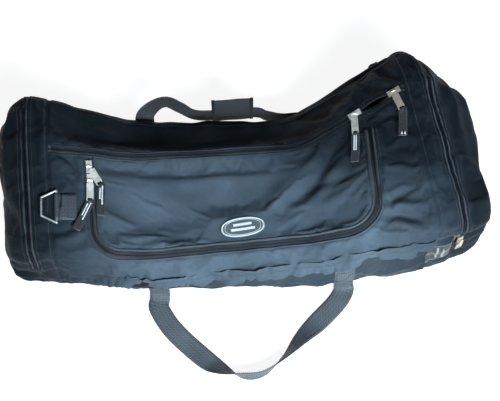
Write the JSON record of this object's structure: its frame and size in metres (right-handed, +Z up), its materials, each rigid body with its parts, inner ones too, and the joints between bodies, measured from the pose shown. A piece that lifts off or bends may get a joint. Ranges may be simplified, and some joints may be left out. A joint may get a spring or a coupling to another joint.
{
  "type": "sports duffel bag",
  "caption": "Long soft nylon gear duffel with a zipped lid, a second zipped compartment, zipped end pockets, webbing handles and strap rings, lying on its base",
  "frame": {"origin": "on the floor under the bag, at the middle of its base panel", "axes": "+X along the bag towards its taller end, -Y towards the side with the long front seam, +Z up"},
  "size_m": [0.906, 0.5629, 0.2537],
  "materials": {
    "nylon": "near-black navy coated nylon with a soft sheen",
    "lining": "dark grey coated lining",
    "zip": "black zip tape with moulded coil",
    "piping": "black corded piping",
    "webbing": "dense dark polypropylene webbing",
    "grip": "black padded nylon with hook and loop closure",
    "badge": "soft moulded badge with a raised light border",
    "zip_metal": "cast zip metal, dull nickel plated",
    "tab": "black woven tab with light woven bars",
    "ring_metal": "bright drawn wire"
  },
  "bodies": {
    "bag": {"back_anchor_left": "webbing", "back_anchor_right": "webbing", "back_panel": "nylon", "base_panel": "nylon", "front_anchor_left": "webbing", "front_anchor_right": "webbing", "front_hem": "nylon", "front_lower_panel": "nylon", "label_tab": "webbing", "left_band": "nylon", "left_end_panel": "nylon", "left_pocket_wall": "lining", "left_ring_loop": "webbing", "left_zip_chain": "zip", "lid_zip_chain": "zip", "right_band": "nylon", "right_end_panel": "nylon", "right_pocket_wall": "lining", "right_ring_loop": "webbing", "right_zip_chain": "zip", "top_back_panel": "nylon", "top_front_panel": "nylon", "wet_divider": "lining", "wet_zip_chain": "zip"},
    "lid": {"lid_panel": "nylon", "lid_piping": "piping", "badge": "badge"},
    "left_pocket": {"left_pocket_flap": "nylon"},
    "right_pocket": {"right_pocket_flap": "nylon"},
    "front_handle": {"front_handle": "webbing"},
    "back_handle": {"back_handle": "webbing", "grip_wrap": "grip"},
    "left_ring": {"left_ring": "ring_metal"},
    "right_ring": {"right_ring": "ring_metal"},
    "wet_a_slider": {"wet_a_slider": "zip_metal"},
    "wet_a_puller": {"wet_a_puller": "zip_metal"},
    "wet_a_tab": {"wet_a_tab": "tab"},
    "wet_b_slider": {"wet_b_slider": "zip_metal"},
    "wet_b_puller": {"wet_b_puller": "zip_metal"},
    "wet_b_tab": {"wet_b_tab": "tab"},
    "lid_a_slider": {"lid_a_slider": "zip_metal"},
    "lid_a_puller": {"lid_a_puller": "zip_metal"},
    "lid_a_tab": {"lid_a_tab": "tab"},
    "lid_b_slider": {"lid_b_slider": "zip_metal"},
    "lid_b_puller": {"lid_b_puller": "zip_metal"},
    "lid_b_tab": {"lid_b_tab": "tab"},
    "left_pocket_slider": {"left_pocket_slider": "zip_metal"},
    "left_pocket_puller": {"left_pocket_puller": "zip_metal"},
    "right_pocket_slider": {"right_pocket_slider": "zip_metal"},
    "right_pocket_puller": {"right_pocket_puller": "zip_metal"}
  },
  "joints": [
    {"name": "lid_hinge", "type": "hinge", "parent": "bag", "child": "lid", "pos_m": [-0.291, 0.04, 0.14832], "axis": [-0.9865, 0.1481, -0.0701], "range_deg": [0, 95]},
    {"name": "left_pocket_hinge", "type": "hinge", "parent": "bag", "child": "left_pocket", "pos_m": [-0.4655, 0, 0.0858], "axis": [0, -1, 0], "range_deg": [0, 75]},
    {"name": "right_pocket_hinge", "type": "hinge", "parent": "bag", "child": "right_pocket", "pos_m": [0.4415, 0, 0.0858], "axis": [0, 1, 0], "range_deg": [0, 75]},
    {"name": "wet_a_slide", "type": "slide", "parent": "bag", "child": "wet_a_slider", "axis": [0.8719, 0.2049, 0.4447], "range_m": [-0.04, 0.02]},
    {"name": "wet_a_puller_hinge", "type": "hinge", "parent": "wet_a_slider", "child": "wet_a_puller", "pos_m": [0.2094, 0.07171, 0.19166], "axis": [-0.8971, 0.1474, -0.4165], "range_deg": [0, 110]},
    {"name": "wet_a_tab_hinge", "type": "hinge", "parent": "wet_a_puller", "child": "wet_a_tab", "pos_m": [0.20574, 0.03137, 0.18528], "axis": [-0.8971, 0.1474, -0.4165], "range_deg": [0, 50]},
    {"name": "wet_b_slide", "type": "slide", "parent": "bag", "child": "wet_b_slider", "axis": [0.8692, 0.2043, 0.4502], "range_m": [-0.022, 0]},
    {"name": "wet_b_puller_hinge", "type": "hinge", "parent": "wet_b_slider", "child": "wet_b_puller", "pos_m": [0.28144, 0.08834, 0.22864], "axis": [-0.8745, -0.1834, -0.4491], "range_deg": [0, 110]},
    {"name": "wet_b_tab_hinge", "type": "hinge", "parent": "wet_b_puller", "child": "wet_b_tab", "pos_m": [0.29092, 0.04851, 0.22644], "axis": [-0.8745, -0.1834, -0.4491], "range_deg": [0, 50]},
    {"name": "lid_a_slide", "type": "slide", "parent": "bag", "child": "lid_a_slider", "axis": [0, -0.9874, -0.158], "range_m": [0, 0.075]},
    {"name": "lid_a_puller_hinge", "type": "hinge", "parent": "lid_a_slider", "child": "lid_a_puller", "pos_m": [-0.28937, 0.01409, 0.14902], "axis": [-0.9599, 0.0262, 0.2791], "range_deg": [0, 110]},
    {"name": "lid_a_tab_hinge", "type": "hinge", "parent": "lid_a_puller", "child": "lid_a_tab", "pos_m": [-0.29213, -0.02642, 0.14333], "axis": [-0.9599, 0.0262, 0.2791], "range_deg": [0, 50]},
    {"name": "lid_b_slide", "type": "slide", "parent": "bag", "child": "lid_b_slider", "axis": [0, -0.9874, -0.158], "range_m": [-0.008, 0]},
    {"name": "lid_b_puller_hinge", "type": "hinge", "parent": "lid_b_slider", "child": "lid_b_puller", "pos_m": [-0.28931, 0.04109, 0.15332], "axis": [-0.9494, 0.0994, 0.298], "range_deg": [0, 110]},
    {"name": "lid_b_tab_hinge", "type": "hinge", "parent": "lid_b_puller", "child": "lid_b_tab", "pos_m": [-0.27164, 0.00574, 0.14241], "axis": [-0.8573, -0.4834, 0.1774], "range_deg": [0, 50]},
    {"name": "left_pocket_slide", "type": "slide", "parent": "bag", "child": "left_pocket_slider", "axis": [0, 0, 1], "range_m": [0, 0.025]},
    {"name": "left_pocket_puller_hinge", "type": "hinge", "parent": "left_pocket_slider", "child": "left_pocket_puller", "pos_m": [-0.40127, 0.20859, 0.112], "axis": [0.9926, -0.1211, 0], "range_deg": [0, 100]},
    {"name": "right_pocket_slide", "type": "slide", "parent": "bag", "child": "right_pocket_slider", "axis": [0, 0, 1], "range_m": [0, 0.02]},
    {"name": "right_pocket_puller_hinge", "type": "hinge", "parent": "right_pocket_slider", "child": "right_pocket_puller", "pos_m": [0.37045, -0.17505, 0.112], "axis": [-0.9427, -0.3336, 0], "range_deg": [0, 100]},
    {"name": "left_ring_hinge", "type": "hinge", "parent": "bag", "child": "left_ring", "pos_m": [-0.3508, -0.03686, 0.1558], "axis": [0.0439, 0.9844, 0.1706], "range_deg": [0, 120]},
    {"name": "right_ring_hinge", "type": "hinge", "parent": "bag", "child": "right_ring", "pos_m": [0.299, 0.19154, 0.15], "axis": [0, 0, 1], "range_deg": [0, 120]},
    {"name": "front_handle_hinge", "type": "hinge", "parent": "bag", "child": "front_handle", "pos_m": [-0.186, -0.16345, 0.028], "axis": [-0.9969, 0.0791, 0], "range_deg": [0, 30]},
    {"name": "back_handle_hinge", "type": "hinge", "parent": "bag", "child": "back_handle", "pos_m": [-0.186, 0.18146, 0.03], "axis": [-0.9985, 0.0547, 0], "range_deg": [0, 15]}
  ],
  "couplings": [
    {"joint": "lid_b_puller_hinge", "follows": "lid_hinge", "ratio": 1.12}
  ]
}
